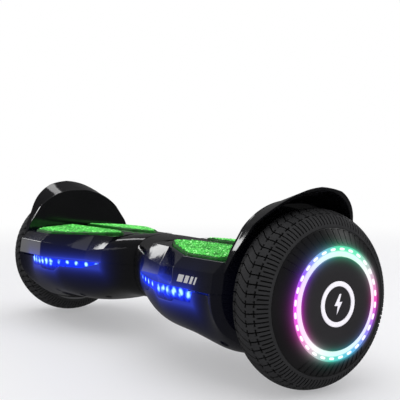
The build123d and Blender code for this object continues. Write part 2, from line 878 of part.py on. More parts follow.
with BuildPart() as light_board:
    for start, end, count in (
        ((ridge_x - 28, -79.0), (ridge_x + 26, -82.5), 6),
        ((bumper_x + 17, -53.5), (ridge_x - 36, -74.0), 4),
    ):
        run = Vector(end[0] - start[0], end[1] - start[1])
        board_plane = Plane(
            origin=((start[0] + end[0]) / 2, (start[1] + end[1]) / 2, axle_height),
            x_dir=(run.X, run.Y, 0),
            z_dir=(run.Y, -run.X, 0),
        )
        with BuildSketch(board_plane):
            Rectangle(run.length, 9)
        extrude(amount=board_thickness)
        with BuildSketch(board_plane.offset(board_thickness)):
            with GridLocations(run.length / count, 1, count, 1):
                Rectangle(3, 3)
        extrude(amount=1.2)
save_pair(light_board.part, "light_board")


# ---- pivot ---------------------------------------------------------------------------
save(
    ring(-pivot_half_length, pivot_half_length, tube_radius - pivot_tube_wall, tube_radius),
    "pivot_tube",
)
with BuildPart() as pivot_bushes:
    bush_bore = tube_radius + running_gap
    for x in (seat_start + slot_depth + 1, seat_end - bush_length):
        add(ring(x, x + bush_length, bush_bore, tube_radius + bush_wall))
save(pivot_bushes.part, "pivot_bushes")
save(ring(seat_end + 0.3, seat_end + 2.3, tube_radius, tube_radius + 4), "pivot_circlip")

with BuildPart() as stop_pin:
    with BuildSketch(across(-seat_start - 15)):
        with Locations((0, stop_radius)):
            Circle(stop_pin_diameter / 2)
    extrude(amount=2 * seat_start + 15 + slot_depth - 1)
save(stop_pin.part, "stop_pin")


# ---- battery and electronics ---------------------------------------------------------
battery_wall = 1.5
battery_gap = 0.5
battery_top = plate_bottom - 0.3
battery_height = cell_diameter + 2 * battery_wall + 0.6
battery_length = 2 * cell_length + 2 * battery_wall + 3 * battery_gap
battery_width = 5 * (cell_diameter + battery_gap) + 2 * battery_wall + battery_gap
battery_x = end_wall_x - 5.75 - battery_length / 2

with BuildPart() as battery_case:
    with BuildSketch(level(battery_top - battery_height)):
        with Locations((-battery_x, 0)):
            RectangleRounded(battery_length, battery_width, 5)
    extrude(amount=battery_height)
    with BuildSketch(level(battery_top - battery_height + battery_wall)):
        with Locations((-battery_x, 0)):
            Rectangle(battery_length - 2 * battery_wall, battery_width - 2 * battery_wall)
    extrude(amount=battery_height - 2 * battery_wall, mode=Mode.SUBTRACT)
save(battery_case.part, "battery_case")

with BuildPart() as battery_cells:
    cell_height = battery_top - battery_height / 2
    for row in (-1, 1):
        middle = -battery_x + row * (cell_length + battery_gap) / 2
        with BuildSketch(across(middle - cell_length / 2)):
            with Locations((0, cell_height)):
                with GridLocations(cell_diameter + battery_gap, 1, 5, 1):
                    Circle(cell_diameter / 2)
        extrude(amount=cell_length)
save(battery_cells.part, "battery_cells")

board_height = -34.0
board_middle = ridge_x - 27
with BuildPart() as main_board:
    with BuildSketch(level(board_height)):
        with Locations((board_middle, 0)):
            RectangleRounded(104, 66, 3)
    extrude(amount=board_thickness)
    with BuildSketch(level(board_height + board_thickness)):
        with Locations((board_middle + 20, 20)):
            Rectangle(50, 16)
        with Locations((board_middle - 34, -16)):
            Rectangle(20, 24)
    extrude(amount=plate_bottom - 0.3 - board_height - board_thickness)
    with BuildSketch(level(board_height + board_thickness)):
        with Locations((board_middle + 20, -18)):
            with GridLocations(14, 14, 3, 1):
                Circle(5)
    extrude(amount=12)
save(main_board.part, "main_board")

speaker_x = collar_x - 22
with BuildPart() as speaker:
    with BuildSketch(level(plate_bottom - 0.3)):
        with Locations((speaker_x, 0)):
            Circle(8)
    extrude(amount=-9)
    with BuildSketch(level(plate_bottom - 9.3)):
        with Locations((speaker_x, 0)):
            Circle(15)
    extrude(amount=-5)
save(speaker.part, "speaker")

with BuildPart() as charge_socket:
    with BuildSketch(upright(charge_seat_y - 0.2)):
        with Locations((charge_x, charge_height)):
            Circle(8)
    extrude(amount=14)
    with BuildSketch(upright(charge_seat_y)):
        with Locations((charge_x, charge_height)):
            Circle(charge_bore_diameter / 2)
    extrude(amount=charge_bore_depth + 0.2, mode=Mode.SUBTRACT)
save(charge_socket.part, "charge_socket")

with BuildPart() as port_cap:
    with BuildSketch(upright(charge_seat_y + 3.4)):
        with Locations((charge_x, charge_height)):
            Circle(charge_seat_radius - 2.5)
        with Locations((charge_x, (charge_height + ear_height) / 2)):
            Rectangle(8.4, ear_height - charge_height)
    extrude(amount=2.8)
    with BuildSketch(across(charge_x - 4.2)):
        with Locations((ear_y, ear_height)):
            Circle(1.9)
    extrude(amount=8.4)
    with BuildSketch(across(charge_x - ear_reach)):
        with Locations((ear_y, ear_height)):
            Circle(1.0)
    extrude(amount=2 * ear_reach)
save(port_cap.part, "port_cap")

with BuildPart() as power_button:
    with BuildSketch(upright(button_seat_y + 1.2)):
        with Locations((button_x, charge_height)):
            Circle(button_diameter / 2)
    extrude(amount=10)
    with BuildSketch(upright(button_seat_y - 6.0)):
        with Locations((button_x, charge_height)):
            Circle(button_diameter / 2 + 1.4)
    extrude(amount=1.6)
save(power_button.part, "power_button")

with BuildPart() as power_switch:
    with BuildSketch(upright(button_seat_y - 8.8 - button_travel - 0.4)):
        with Locations((button_x, charge_height)):
            Rectangle(10, 10)
    extrude(amount=7)
save(power_switch.part, "power_switch")


# ---- motor cables --------------------------------------------------------------------
cable_radius = cable_diameter / 2
with BuildPart() as left_motor_cable:
    with BuildSketch(across(-axle_inner_x + 0.2)):
        Circle(cable_radius)
    extrude(amount=axle_inner_x + pivot_half_length + 4)
    with BuildSketch(across(pivot_half_length + 4)):
        RectangleRounded(14, 10, 2)
    extrude(amount=14)
save(left_motor_cable.part, "left_motor_cable")

right_route = [
    (axle_inner_x - 0.2, 0, axle_height),
    (axle_inner_x - 22, 0, axle_height),
    (axle_inner_x - 42, 0, axle_height - 14),
    (axle_inner_x - 42, 0, axle_height + board_height + board_thickness),
]
with BuildPart() as right_motor_cable:
    with BuildLine() as route:
        FilletPolyline(*right_route, radius=[14, 14])
    with BuildSketch(Plane(origin=right_route[0], z_dir=(-1, 0, 0))):
        Circle(cable_radius)
    sweep()
save(right_motor_cable.part, "right_motor_cable")
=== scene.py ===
import math

import bmesh
import bpy
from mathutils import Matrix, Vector
from mathutils.bvhtree import BVHTree


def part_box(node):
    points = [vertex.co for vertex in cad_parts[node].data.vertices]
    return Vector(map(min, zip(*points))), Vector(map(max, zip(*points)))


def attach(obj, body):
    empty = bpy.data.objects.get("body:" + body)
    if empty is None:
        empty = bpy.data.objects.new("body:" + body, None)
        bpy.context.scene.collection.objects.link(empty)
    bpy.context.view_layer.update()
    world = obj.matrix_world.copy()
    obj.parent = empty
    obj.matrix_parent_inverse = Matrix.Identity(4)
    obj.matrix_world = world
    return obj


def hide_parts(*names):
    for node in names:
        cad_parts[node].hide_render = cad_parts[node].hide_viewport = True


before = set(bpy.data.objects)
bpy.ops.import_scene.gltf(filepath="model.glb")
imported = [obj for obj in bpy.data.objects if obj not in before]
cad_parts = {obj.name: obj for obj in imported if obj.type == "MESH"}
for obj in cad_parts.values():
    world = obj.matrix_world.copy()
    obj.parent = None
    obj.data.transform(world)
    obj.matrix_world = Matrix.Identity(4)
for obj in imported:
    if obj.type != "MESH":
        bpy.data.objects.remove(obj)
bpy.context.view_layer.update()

MM = 0.001
SIDES = {"left": -1, "right": 1}
scene = bpy.context.scene

# ---- sizes taken from the frame ------------------------------------------------------
tyre_low, tyre_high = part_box("right_tyre")
ring_low, ring_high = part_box("right_light_ring")
badge_low, badge_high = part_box("right_badge_ring")
hub_low, hub_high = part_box("right_hub_cover")
window_low, window_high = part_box("right_window_lens")

AXLE_Z = (tyre_low.z + tyre_high.z) / 2
TYRE_RADIUS = (tyre_high.z - tyre_low.z) / 2
TYRE_X = (tyre_low.x + tyre_high.x) / 2
TYRE_HALF_WIDTH = (tyre_high.x - tyre_low.x) / 2
HUB_RADIUS = (hub_high.z - hub_low.z) / 2
RING_OUTER = (ring_high.z - ring_low.z) / 2
BADGE_OUTER = (badge_high.z - badge_low.z) / 2
BEAD_RADIUS = HUB_RADIUS + 0.3 * MM
FACE_X = ring_high.x

# ---- sizes of the parts' own, which the boxes don't give --------------------------------
RING_INNER = 42.4 * MM
BADGE_INNER = 16.0 * MM
DECK_CROWN = 40.5 * MM           # middle of the deck, above the axle
DECK_FLAT = 8.0 * MM             # half width of the level strip
DECK_SLOPE = 0.065               # fall of the deck beside that strip
WINDOW_NARROWS = (110 * MM, 130 * MM)
WINDOW_FOOT = 0.5 * MM           # foot of the window's narrow end, below the axle
WINDOW_DROP = 7.5 * MM           # its wide end goes this much lower


# ---- finishes ------------------------------------------------------------------------
class Value:
    """A number socket of a finish. Arithmetic on it adds Math nodes."""

    def __init__(self, finish, socket):
        self.finish = finish
        self.socket = socket

    def maths(self, operation, *terms):
        return self.finish.node("ShaderNodeMath", {"operation": operation}, *terms)

    def __add__(self, other):
        return self.maths("ADD", self, other)

    def __radd__(self, other):
        return self.maths("ADD", other, self)

    def __sub__(self, other):
        return self.maths("SUBTRACT", self, other)

    def __rsub__(self, other):
        return self.maths("SUBTRACT", other, self)

    def __mul__(self, other):
        return self.maths("MULTIPLY", self, other)

    def __rmul__(self, other):
        return self.maths("MULTIPLY", other, self)

    def __truediv__(self, other):
        return self.maths("DIVIDE", self, other)

    def __pow__(self, other):
        return self.maths("POWER", self, other)

    def __neg__(self):
        return self.maths("MULTIPLY", self, -1)

    def __abs__(self):
        return self.maths("ABSOLUTE", self)

    def above(self, low, high):
        """0 under low, 1 over high, smooth between."""
        settings = {"interpolation_type": "SMOOTHSTEP"}
        return self.finish.node("ShaderNodeMapRange", settings, self, low, high)

    def at_least(self, other):
        return self.maths("MAXIMUM", self, other)

    def at_most(self, other):
        return self.maths("MINIMUM", self, other)

    def repeat(self, pitch):
        """Distance from the middle of each repeat."""
        return self.maths("FLOORED_MODULO", self, pitch) - pitch / 2

    def fade(self, length):
        """1 at zero, falling off over a length."""
        return self.maths("EXPONENT", self * (-1 / length))


class Finish:
    """A material with a Principled shader, built from patterns in the object's own space."""

    def __init__(self, name, **constants):
        self.material = bpy.data.materials.new(name)
        self.material.use_nodes = True
        self.tree = self.material.node_tree
        self.shader = self.tree.nodes["Principled BSDF"]
        for socket, value in constants.items():
            self.shader.inputs[socket.replace("_", " ")].default_value = value
        self.place = self.node("ShaderNodeTexCoord", {}, output="Object")
        axes = self.tree.nodes.new("ShaderNodeSeparateXYZ")
        self.tree.links.new(self.place, axes.inputs[0])
        self.x = Value(self, axes.outputs[0])
        self.y = Value(self, axes.outputs[1])
        self.z = Value(self, axes.outputs[2])

    def node(self, kind, settings, *inputs, output=None, **named):
        """Adds a node. Its settings go first, then its inputs by order or by name."""
        made = self.tree.nodes.new(kind)
        for key, value in settings.items():
            if key == "stops":
                self.set_stops(made.color_ramp, value)
            else:
                setattr(made, key, value)
        slots = [s for s in made.inputs if s.enabled]
        pairs = list(zip(slots, inputs))
        pairs += [(next(s for s in slots if s.name == k.replace("_", " ")), v) for k, v in named.items()]
        for slot, value in pairs:
            if isinstance(value, Value):
                self.tree.links.new(value.socket, slot)
            elif isinstance(value, bpy.types.NodeSocket):
                self.tree.links.new(value, slot)
            elif value is not None:
                slot.default_value = value
        outlets = [s for s in made.outputs if s.enabled]
        chosen = next((s for s in outlets if s.name == output), outlets[0])
        return Value(self, chosen) if chosen.type == "VALUE" else chosen

    def set_stops(self, ramp, stops):
        for index, (position, colour) in enumerate(stops):
            if index >= len(ramp.elements):
                ramp.elements.new(position)
            ramp.elements[index].position = position
            ramp.elements[index].color = (*colour, 1)

    def noise(self, size, detail=3.0, place=None):
        """Cloudy noise from 0 to 1 with features of about a size in metres."""
        place = place or self.place
        return self.node(
            "ShaderNodeTexNoise", {}, Vector=place, Scale=1 / size, Detail=detail, output="Fac"
        )

    def cells(self, size):
        """Distance from the middle of the nearest cell, with cells of about a size in metres."""
        return self.node(
            "ShaderNodeTexVoronoi", {}, Vector=self.place, Scale=1 / size, output="Distance"
        )

    def stretched(self, scale):
        """The object's own space stretched along its axes."""
        return self.node("ShaderNodeMapping", {}, Vector=self.place, Scale=scale)

    def mix(self, share, first, second):
        """Colour between two colours."""
        settings = {"data_type": "RGBA"}
        colours = [c if isinstance(c, bpy.types.NodeSocket) else (*c, 1) for c in (first, second)]
        return self.node("ShaderNodeMix", settings, Factor=share, A=colours[0], B=colours[1])

    def ramp(self, value, stops):
        return self.node("ShaderNodeValToRGB", {"stops": stops}, value)

    def scaled(self, colour, value):
        """A colour times a number."""
        settings = {"operation": "SCALE"}
        return self.node("ShaderNodeVectorMath", settings, colour, Scale=value)

    def feed(self, socket, value):
        source = value.socket if isinstance(value, Value) else value
        self.tree.links.new(source, self.shader.inputs[socket])

    def emboss(self, height, distance):
        """Bump from a height of 0 to 1 that stands for a distance in metres."""
        bump = self.node("ShaderNodeBump", {}, Strength=1.0, Distance=distance, Height=height)
        self.feed("Normal", bump)

    def wheel_radius(self):
        up = self.z - AXLE_Z
        return (self.y * self.y + up * up) ** 0.5

    def wheel_turn(self):
        """Turn about the axle from 0 to 1, from the bottom round by the rear."""
        angle = self.y.maths("ARCTAN2", self.y, AXLE_Z - self.z)
        return angle * (0.5 / math.pi) + 0.5


WINDOW_START = window_low.x
WINDOW_END = window_high.x
WINDOW_Z = (window_low.z + window_high.z) / 2
# Colour of the painted glow on the shell round the windows.
PAINTED_GLOW_BLUE = (0.05, 0.09, 1.0)
RING_COLOURS = (
    (0.00, (0.10, 0.75, 0.42)),
    (0.08, (0.22, 0.42, 0.85)),
    (0.15, (0.30, 0.08, 0.95)),
    (0.24, (0.80, 0.05, 0.85)),
    (0.33, (0.85, 0.12, 0.60)),
    (0.40, (0.65, 0.55, 0.60)),
    (0.48, (0.10, 0.72, 0.55)),
    (0.57, (0.12, 0.50, 0.80)),
    (0.65, (0.30, 0.20, 0.90)),
    (0.75, (0.85, 0.06, 0.50)),
    (0.84, (0.62, 0.58, 0.62)),
    (0.92, (0.15, 0.80, 0.50)),
    (1.00, (0.10, 0.75, 0.42)),
)


def gloss_shell():
    """Piano black moulding: deep gloss, faint wipe marks, and a painted blue glow near the windows."""
    finish = Finish("gloss shell", Specular_IOR_Level=0.5, IOR=1.48)
    wipes = finish.noise(0.05, 4.0, finish.stretched((0.35, 1.0, 1.0)))
    dust = finish.noise(0.0011, 2.0)
    finish.feed("Base Color", finish.mix(wipes, (0.0018, 0.0018, 0.0022), (0.0045, 0.0045, 0.0055)))
    finish.feed("Roughness", 0.07 + wipes.above(0.45, 0.75) * 0.05 + dust.above(0.66, 0.8) * 0.06)
    finish.emboss(finish.noise(0.03, 2.0), 0.00012)
    # Painted glow: blue emission on the front of the shell, fading with distance from the window, in place
    # of the windows' light falling on it.
    along = abs(finish.x)
    past_ends = (along - WINDOW_END).at_least(WINDOW_START - along).at_least(0)
    foot = AXLE_Z - WINDOW_FOOT - along.above(*WINDOW_NARROWS) * WINDOW_DROP
    past_edges = (foot - finish.z).at_least(finish.z - window_high.z).at_least(0)
    distance = (past_ends * past_ends + past_edges * past_edges) ** 0.5
    front = (-finish.y).above(0.040, 0.056)
    near = distance.fade(0.0040) * 0.36
    wide = distance.fade(0.0120) * 0.07
    finish.feed("Emission Color", finish.mix(front * (near + wide), (0.0, 0.0, 0.0), PAINTED_GLOW_BLUE))
    finish.shader.inputs["Emission Strength"].default_value = 1.0
    return finish.material


def light_lens():
    """Blue window: bright lamps of uneven strength behind a dark blue faceted lens."""
    finish = Finish("light lens", Roughness=0.10, Coat_Weight=0.6, Coat_Roughness=0.05)
    along = abs(finish.x)
    height = finish.z - WINDOW_Z
    wide = along.above(0.124, 0.130)
    uneven = finish.noise(0.007, 1.0).above(0.36, 0.60)
    lamp = 0
    for pitch, lift, size, strength, mask in (
        (0.0104, 0.0030, 0.0038, 1.0, wide),
        (0.0150, 0.0046, 0.0026, 0.9, 1 - wide),
    ):
        across = (along - 0.0010).repeat(pitch)
        rise = height - lift
        spot = (across * across + rise * rise).fade(size * size)
        lamp = spot * mask * strength * (0.35 + uneven * 0.65) + lamp
    lamp = lamp.at_most(1.0)
    sparkle = finish.cells(0.0042)
    haze = (0.10 + height.above(-0.007, 0.002) * 0.90) * (0.50 + sparkle * 0.9)
    deep = finish.mix(haze.at_most(1.0), (0.0, 0.001, 0.02), (0.0, 0.02, 0.95))
    bright = finish.mix(lamp, (0.0, 0.22, 1.0), (0.55, 0.95, 1.0))
    finish.feed("Base Color", finish.mix(sparkle, (0.002, 0.003, 0.03), (0.005, 0.012, 0.10)))
    finish.feed("Emission Color", finish.mix(lamp.above(0.05, 0.55), deep, bright))
    finish.shader.inputs["Emission Strength"].default_value = 1.5
    finish.emboss(sparkle, 0.0004)
    return finish.material


def pad_rubber():
    """Translucent green silicone with a painted green glow, and painted highlights on the tips of its knobs
    and in scattered sparkles.
    """
    finish = Finish("pad rubber", Specular_IOR_Level=0.4, Coat_Weight=0.15)
    slope = (abs(finish.y) - DECK_FLAT).at_least(0) * DECK_SLOPE
    above_deck = finish.z - (AXLE_Z + DECK_CROWN) + slope
    # Knob tips: mask for the painted highlight on top of each knob.
    tip = above_deck.above(0.0019, 0.0032)
    flow = finish.noise(0.010, 2.0, finish.stretched((0.12, 1.0, 1.0))).above(0.40, 0.62)
    patches = finish.noise(0.0055, 3.0).above(0.38, 0.62)
    # Scattered spots of painted sparkle highlight.
    painted_sparkles = finish.noise(0.0026, 1.0).above(0.50, 0.66)
    painted_glow_amount = (0.10 + flow * 0.35 + patches * 0.55 + painted_sparkles * 0.45).at_most(1.25)
    # Knob tips get a lighter base colour as a painted highlight.
    finish.feed("Base Color", finish.mix(tip, (0.003, 0.04, 0.004), (0.03, 0.26, 0.035)))
    painted_tip_highlight = finish.mix(painted_sparkles * patches, (0.10, 0.72, 0.09), (0.42, 0.95, 0.36))
    glow = finish.mix(tip, (0.002, 0.055, 0.003), painted_tip_highlight)
    # Painted glow: the pad gives off green light though it is no lamp.
    finish.feed("Emission Color", finish.scaled(glow, painted_glow_amount))
    finish.feed("Roughness", 0.30 + patches * 0.2)
    finish.shader.inputs["Emission Strength"].default_value = 1.35
    return finish.material


def tyre_rubber():
    """Matt rubber with fine moulded grain, dusty on the blocks, with painted shade darkening the grooves.
    """
    finish = Finish("tyre rubber", Specular_IOR_Level=0.3)
    share = (abs(abs(finish.x) - TYRE_X) / TYRE_HALF_WIDTH).at_most(1.0)
    crown_line = (1 - share * share).at_least(0.0) ** 0.6
    surface = crown_line * (TYRE_RADIUS - BEAD_RADIUS) + BEAD_RADIUS
    block_vs_painted_groove_shade = 1 - (surface - finish.wheel_radius()).above(0.0004, 0.0012)
    dust = finish.noise(0.012, 5.0)
    grain = finish.noise(0.0007, 2.0)
    # Grooves get the darkest colour as painted shade; dust varies the blocks.
    tone = block_vs_painted_groove_shade * (0.55 + dust * 0.45)
    finish.feed("Base Color", finish.mix(tone, (0.003, 0.003, 0.0032), (0.035, 0.035, 0.037)))
    finish.feed("Roughness", 0.50 + dust * 0.16 + grain * 0.06)
    finish.emboss(grain, 0.00012)
    return finish.material


def ring_tint(finish):
    """Colour of the wheel's light by its turn about the axle."""
    return finish.ramp(finish.wheel_turn(), RING_COLOURS)


def hub_plastic():
    """Satin dark plastic with a painted glow in the colours of the light ring beside it."""
    finish = Finish("hub plastic", Specular_IOR_Level=0.45)
    radius = finish.wheel_radius()
    inner = RING_OUTER - 0.0093
    beyond = (radius - RING_OUTER).at_least(inner - radius).at_least(0)
    grain = finish.noise(0.0009, 2.0)
    cloud = finish.noise(0.03, 3.0)
    disc = 1 - radius.above(RING_INNER - 0.0030, RING_INNER - 0.0010)
    tone = disc * 0.75 + cloud * 0.25
    finish.feed("Base Color", finish.mix(tone, (0.004, 0.004, 0.0045), (0.030, 0.028, 0.031)))
    finish.feed("Roughness", 0.26 + cloud * 0.1 + grain * 0.05)
    finish.emboss(grain, 0.00007)
    # Painted glow: the ring's colours put on the cover as emission, fading with distance from the ring.
    finish.feed("Emission Color", finish.scaled(ring_tint(finish), beyond.fade(0.0022) * 0.38))
    finish.shader.inputs["Emission Strength"].default_value = 1.0
    return finish.material


def ring_lens():
    """Lit diffuser: white at its inner edge, rainbow outside, white under each lamp."""
    finish = Finish("ring lens", Roughness=0.25, Coat_Weight=0.4)
    radius = finish.wheel_radius()
    tint = ring_tint(finish)
    white = 1 - radius.above(RING_OUTER - 0.0055, RING_OUTER - 0.0036)
    cloud = finish.noise(0.004, 2.0)
    pale = finish.mix(0.20, (0.92, 0.98, 0.95), tint)
    finish.feed("Base Color", finish.mix(0.5, (0.05, 0.05, 0.05), tint))
    shade = finish.mix(white, finish.scaled(tint, 0.62 + cloud * 0.3), pale)
    finish.feed("Emission Color", shade)
    finish.shader.inputs["Emission Strength"].default_value = 0.9
    return finish.material


def lamp_white():
    finish = Finish("lamp white", Roughness=0.3)
    tint = ring_tint(finish)
    cloud = finish.noise(0.0015, 2.0)
    finish.feed("Base Color", finish.mix(cloud, (0.3, 0.32, 0.32), (0.4, 0.4, 0.4)))
    finish.feed("Emission Color", finish.mix(0.16 + cloud * 0.1, (1.0, 1.0, 1.0), tint))
    finish.shader.inputs["Emission Strength"].default_value = 1.0
    return finish.material


def white_plastic():
    """White inlay with a faint mould cloud and a faint painted glow."""
    finish = Finish("white plastic", Roughness=0.35, Specular_IOR_Level=0.5)
    cloud = finish.noise(0.006, 3.0)
    finish.feed("Base Color", finish.mix(cloud, (0.80, 0.79, 0.82), (0.90, 0.89, 0.92)))
    # Painted glow: faint emission though the inlay is no lamp.
    finish.feed("Emission Color", finish.mix(cloud, (0.34, 0.32, 0.38), (0.42, 0.38, 0.44)))
    finish.shader.inputs["Emission Strength"].default_value = 0.6
    return finish.material


def metal(name, colour, roughness, brush=(1.0, 1.0, 1.0), grain_size=0.0012, relief=0.00004):
    """Bare or plated metal with grain drawn out along its working direction."""
    finish = Finish(name, Metallic=1.0)
    grain = finish.noise(grain_size, 3.0, finish.stretched(brush))
    stain = finish.noise(0.02, 3.0)
    dark = tuple(0.72 * c for c in colour)
    finish.feed("Base Color", finish.mix(stain * 0.5 + grain * 0.4, dark, colour))
    finish.feed("Roughness", roughness + grain * 0.14 + stain * 0.06)
    finish.emboss(grain, relief)
    return finish.material


def plastic(name, colour, roughness, grain_size=0.0009, relief=0.00006):
    """Moulded plastic or rubber with a spark-eroded grain."""
    finish = Finish(name, Specular_IOR_Level=0.4)
    grain = finish.noise(grain_size, 2.0)
    cloud = finish.noise(0.015, 3.0)
    dark = tuple(0.7 * c for c in colour)
    finish.feed("Base Color", finish.mix(cloud, dark, colour))
    finish.feed("Roughness", roughness + grain * 0.1 + cloud * 0.05)
    finish.emboss(grain, relief)
    return finish.material


def circuit_board():
    """Green lacquer with copper tracks and tinned pads."""
    finish = Finish("circuit board", Coat_Weight=0.3)
    tracks = abs(finish.x.repeat(0.0042)).above(0.0007, 0.0009)
    breaks = finish.cells(0.011).above(0.30, 0.34)
    pads = finish.cells(0.0050).above(0.14, 0.17)
    green = finish.mix(tracks.at_least(breaks), (0.03, 0.22, 0.06), (0.008, 0.085, 0.025))
    finish.feed("Base Color", finish.mix(pads, (0.62, 0.60, 0.52), green))
    finish.feed("Metallic", 1 - pads)
    finish.feed("Roughness", 0.28 + pads * 0.1)
    finish.emboss(tracks, 0.00004)
    return finish.material


def copper_wire():
    """Enamelled wire wound round the stator teeth."""
    finish = Finish("copper wire", Metallic=0.85, Coat_Weight=0.5)
    strands = abs(finish.x.repeat(0.0011)).above(0.0001, 0.0005)
    cloud = finish.noise(0.01, 2.0)
    # Darker in the gaps between turns of wire: painted shade.
    tone = strands * 0.6 + cloud * 0.3
    finish.feed("Base Color", finish.mix(tone, (0.72, 0.30, 0.12), (0.35, 0.12, 0.05)))
    finish.feed("Roughness", 0.25 + strands * 0.2)
    finish.emboss(1 - strands, 0.0004)
    return finish.material


def laminated_steel():
    """Stack of thin stampings along the axle."""
    finish = Finish("laminated steel", Metallic=1.0)
    sheets = abs(finish.x.repeat(0.0008)).above(0.0001, 0.0003)
    stain = finish.noise(0.008, 3.0)
    tone = sheets * 0.7 + stain * 0.2
    finish.feed("Base Color", finish.mix(tone, (0.30, 0.30, 0.32), (0.13, 0.13, 0.14)))
    finish.feed("Roughness", 0.35 + stain * 0.2)
    finish.emboss(1 - sheets, 0.0001)
    return finish.material


FINISHES = {
    "gloss_shell": gloss_shell(),
    "light_lens": light_lens(),
    "circuit_board": circuit_board(),
    "pad_rubber": pad_rubber(),
    "cast_aluminium": metal("cast aluminium", (0.56, 0.57, 0.59), 0.42, grain_size=0.002, relief=0.00025),
    "steel": metal("steel", (0.58, 0.58, 0.60), 0.25, brush=(0.2, 1.0, 1.0)),
    "black_steel": metal("black steel", (0.05, 0.05, 0.055), 0.38),
    "motor_core": laminated_steel(),
    "copper_wire": copper_wire(),
    "rim_metal": metal("rim metal", (0.66, 0.67, 0.69), 0.28, brush=(1.0, 0.3, 0.3)),
    "bearing_steel": metal("bearing steel", (0.63, 0.63, 0.65), 0.16),
    "magnet": metal("nickel plated magnet", (0.50, 0.50, 0.48), 0.22),
    "tyre_rubber": tyre_rubber(),
    "hub_plastic": hub_plastic(),
    "ring_lens": ring_lens(),
    "white_plastic": white_plastic(),
    "cable_sheath": plastic("cable sheath", (0.018, 0.018, 0.019), 0.45),
    "bronze": metal("bronze", (0.66, 0.44, 0.20), 0.32),
    "battery_wrap": plastic("battery wrap", (0.04, 0.10, 0.42), 0.22, grain_size=0.02, relief=0.0002),
    "cell_metal": metal("cell metal", (0.60, 0.60, 0.62), 0.30, brush=(0.3, 1.0, 1.0)),
    "black_plastic": plastic("black plastic", (0.017, 0.017, 0.018), 0.34),
    "soft_rubber": plastic("soft rubber", (0.020, 0.020, 0.021), 0.60),
    "button_plastic": plastic("button plastic", (0.42, 0.015, 0.015), 0.28),
}
LAMP_WHITE = lamp_white()
PRINTED_WHITE = plastic("printed white", (0.62, 0.62, 0.64), 0.40)


def slot_of(node):
    """Name of the record's finish that a CAD node was imported with."""
    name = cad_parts[node].material_slots[0].material.name
    return next(slot for slot in FINISHES if name == slot or name.startswith(slot + "."))


node_slots = {node: slot_of(node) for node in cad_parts}
for node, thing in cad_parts.items():
    thing.data.materials.clear()
    thing.data.materials.append(FINISHES[node_slots[node]])


# ---- mesh helpers --------------------------------------------------------------------
def piece(name, mesh, body, slot, *replaced, finish=None):
    """Makes a mesh a piece that rides on a body, with its finish and the nodes it stands for."""
    thing = bpy.data.objects.new(name, mesh)
    scene.collection.objects.link(thing)
    mesh.materials.clear()
    mesh.materials.append(finish or FINISHES[slot])
    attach(thing, body)
    if replaced:
        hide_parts(*replaced)
    return thing


def mesh_from(name, points, faces, smooth_angle=30):
    mesh = bpy.data.meshes.new(name)
    mesh.from_pydata(points, [], faces)
    tidy_mesh(mesh, smooth_angle)
    return mesh


def tidy_mesh(mesh, smooth_angle):
    """Faces outwards, smooth except across edges sharper than an angle in degrees."""
    shape = bmesh.new()
    shape.from_mesh(mesh)
    bmesh.ops.recalc_face_normals(shape, faces=shape.faces)
    for face in shape.faces:
        face.smooth = True
    limit = math.radians(smooth_angle)
    for edge in shape.edges:
        edge.smooth = len(edge.link_faces) == 2 and edge.calc_face_angle(0) < limit
    shape.to_mesh(mesh)
    shape.free()
    mesh.update()


def about_axle(side, x, radius, turn):
    """Point at x from the middle, at a radius and a turn in radians from the front to the top."""
    return (side * x, -radius * math.cos(turn), AXLE_Z + radius * math.sin(turn))


def turned_mesh(name, side, profile, count, smooth_angle=30):
    """Closed ring from (x, radius) points about the axle."""
    points = []
    for step in range(count):
        turn = 2 * math.pi * step / count
        points += [about_axle(side, x, radius, turn) for x, radius in profile]
    rows = len(profile)
    faces = []
    for step in range(count):
        start, onward = step * rows, (step + 1) % count * rows
        for row in range(rows):
            after = (row + 1) % rows
            faces.append((start + row, start + after, onward + after, onward + row))
    return mesh_from(name, points, faces, smooth_angle)


def softened(node, width, segments=2, sharp=12, shortest=2.5 * MM):
    """Copy of a CAD node's mesh with its long sharp edges rounded over."""
    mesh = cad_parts[node].data.copy()
    shape = bmesh.new()
    shape.from_mesh(mesh)
    bmesh.ops.remove_doubles(shape, verts=shape.verts, dist=0.00002)
    bmesh.ops.dissolve_degenerate(shape, edges=shape.edges, dist=0.00002)
    limit = math.radians(0.4)
    bmesh.ops.dissolve_limit(
        shape, angle_limit=limit, verts=shape.verts, edges=shape.edges, delimit={"NORMAL"}
    )
    angle = math.radians(sharp)
    edges = [
        edge
        for edge in shape.edges
        if len(edge.link_faces) == 2
        and edge.calc_face_angle(0) > angle
        and edge.calc_length() > shortest
    ]
    bmesh.ops.bevel(
        shape,
        geom=edges,
        offset=width,
        offset_type="OFFSET",
        segments=segments,
        profile=0.5,
        affect="EDGES",
        clamp_overlap=False,
    )
    bmesh.ops.triangulate(shape, faces=[f for f in shape.faces if len(f.verts) > 4])
    shape.to_mesh(mesh)
    shape.free()
    tidy_mesh(mesh, sharp)
    return mesh


def keep_faces_flat(thing):
    """Lets the rounded edges blend while the large faces beside them stay flat."""
    blend = thing.modifiers.new("even_shading", "WEIGHTED_NORMAL")
    blend.mode = "FACE_AREA"
    blend.weight = 100
    blend.keep_sharp = True


# ---- covers and fenders with rounded edges -------------------------------------------
def soft_covers(side):
    for part, width, shortest in (
        ("upper_cover", 0.7, 2.5),
        ("lower_cover", 0.5, 2.5),
        ("fender", 0.5, 0.3),
    ):
        node = f"{side}_{part}"
        mesh = softened(node, width * MM, shortest=shortest * MM)
        keep_faces_flat(piece(f"{node}_moulding", mesh, f"{side}_half", "gloss_shell", node))


